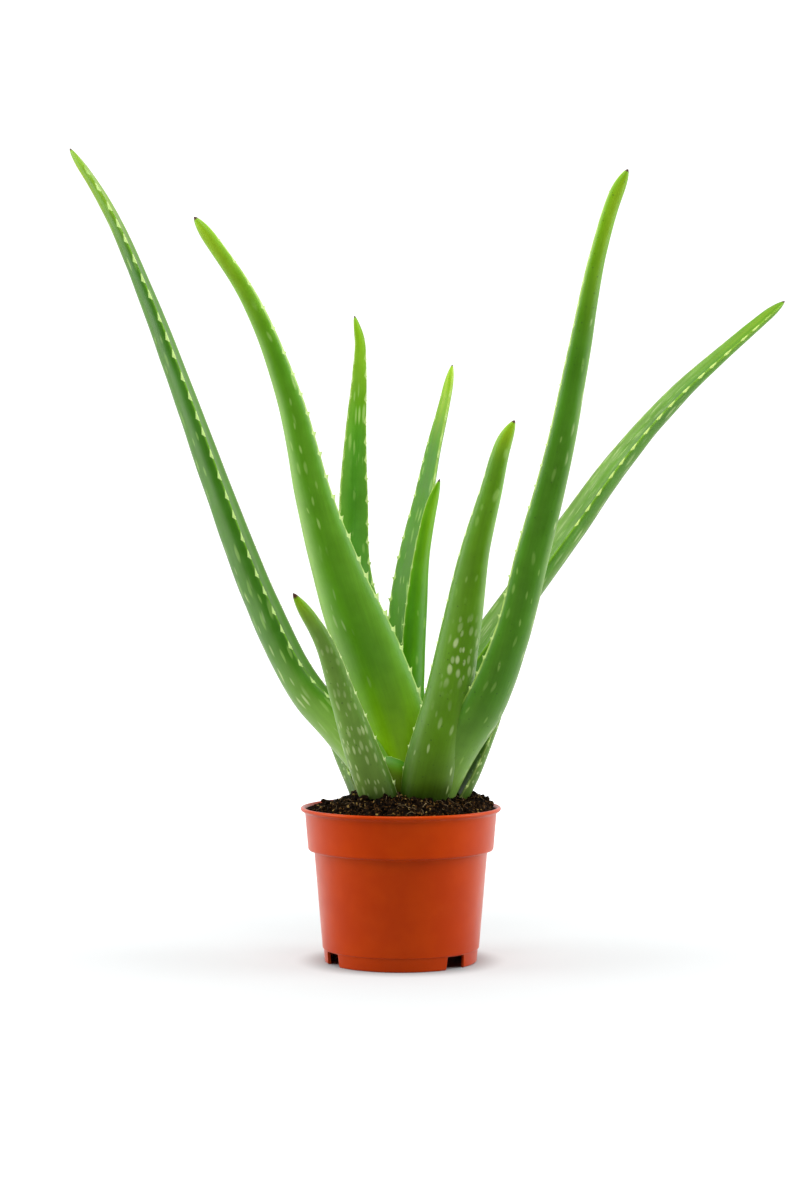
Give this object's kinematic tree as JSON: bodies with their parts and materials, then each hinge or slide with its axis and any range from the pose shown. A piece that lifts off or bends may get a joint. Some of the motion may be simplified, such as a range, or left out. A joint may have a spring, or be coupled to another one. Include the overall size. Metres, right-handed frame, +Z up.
{
  "type": "potted aloe plant",
  "caption": "Aloe plant: a rosette of long, toothed, fleshy leaves that rise and arch outwards, growing in dark soil in a round tapered plastic nursery pot with a collar.",
  "frame": {"origin": "on the surface the pot stands on, under the middle of the plant's spread; the pot's own axis is 19.5 mm from it towards -X", "axes": "+Z up, -Y towards the front that the picture shows, +X to the right as seen from the front"},
  "size_m": [0.452, 0.2114, 0.4964],
  "materials": {
    "pot": "satin",
    "soil": "rough",
    "stem": "matte",
    "leaf": "satin",
    "young_leaf": "satin"
  },
  "bodies": {
    "root": {"pot": "pot", "soil": "soil", "stem": "stem", "leaf_left_long": "leaf", "leaf_broad": "young_leaf", "leaf_front_left_short": "leaf", "leaf_back_left": "young_leaf", "leaf_back_right": "young_leaf", "leaf_front_right": "leaf", "leaf_young": "young_leaf", "leaf_right_long": "leaf", "leaf_right_arching": "leaf", "leaf_right_small": "leaf", "leaf_left_small": "leaf"}
  },
  "joints": []
}
